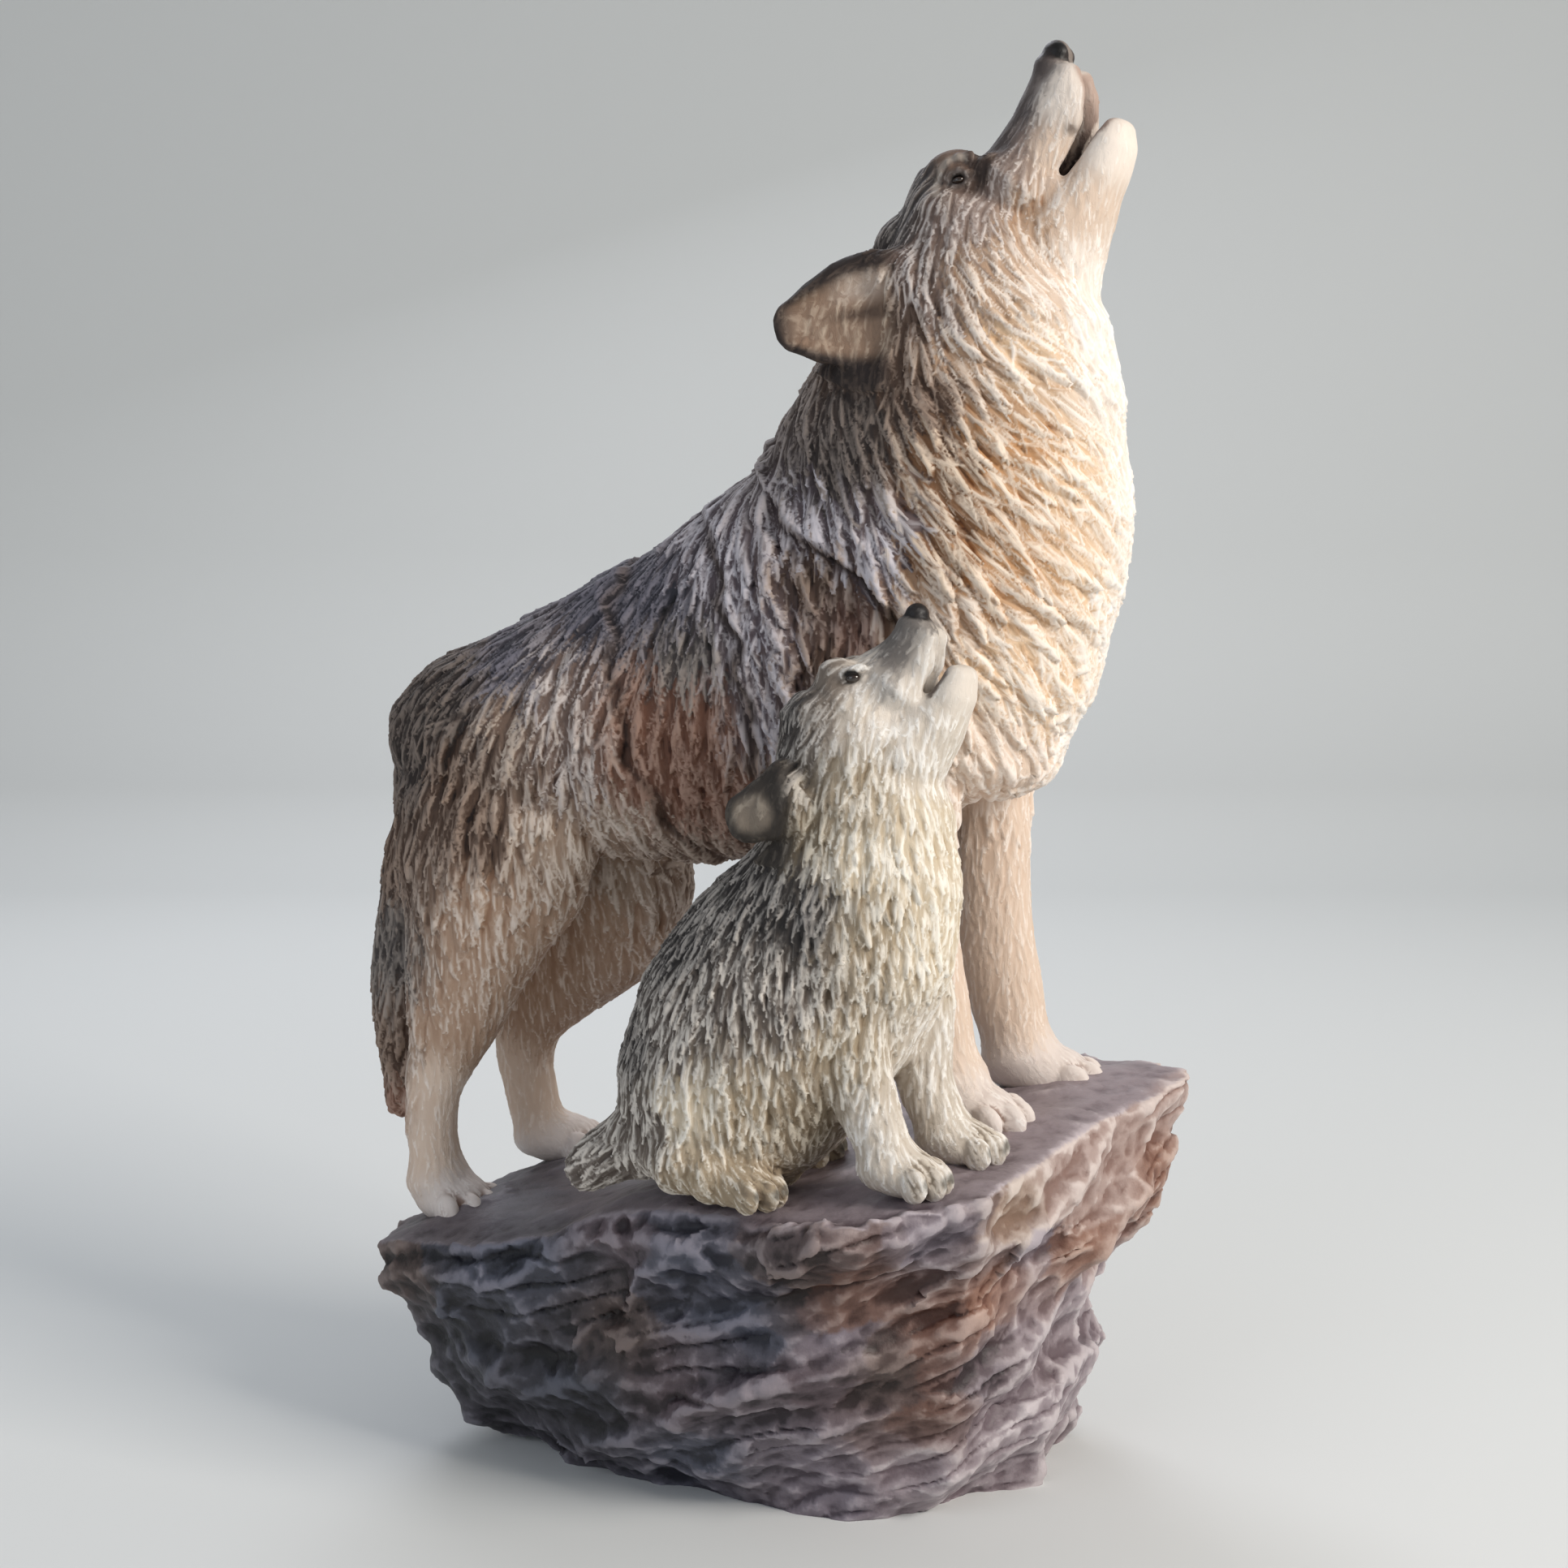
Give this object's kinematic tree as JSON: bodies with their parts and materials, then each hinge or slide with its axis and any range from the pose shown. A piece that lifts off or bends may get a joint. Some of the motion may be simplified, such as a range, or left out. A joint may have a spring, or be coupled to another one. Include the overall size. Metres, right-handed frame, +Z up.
{
  "type": "wolf figurine",
  "caption": "Cast figurine of a standing adult wolf and a seated pup, both howling, on a leaning slab of rock with a flat base to stand on.",
  "frame": {"origin": "on the floor under the rock, between the animals", "axes": "+Z up, +X towards the end of the rock that the adult faces, -Y towards the pup's side"},
  "size_m": [0.2645, 0.1747, 0.4299],
  "materials": {
    "painted_resin": "hand painted and dry brushed, satin to matt"
  },
  "bodies": {
    "root": {"wolf_figurine": "painted_resin"}
  },
  "joints": []
}
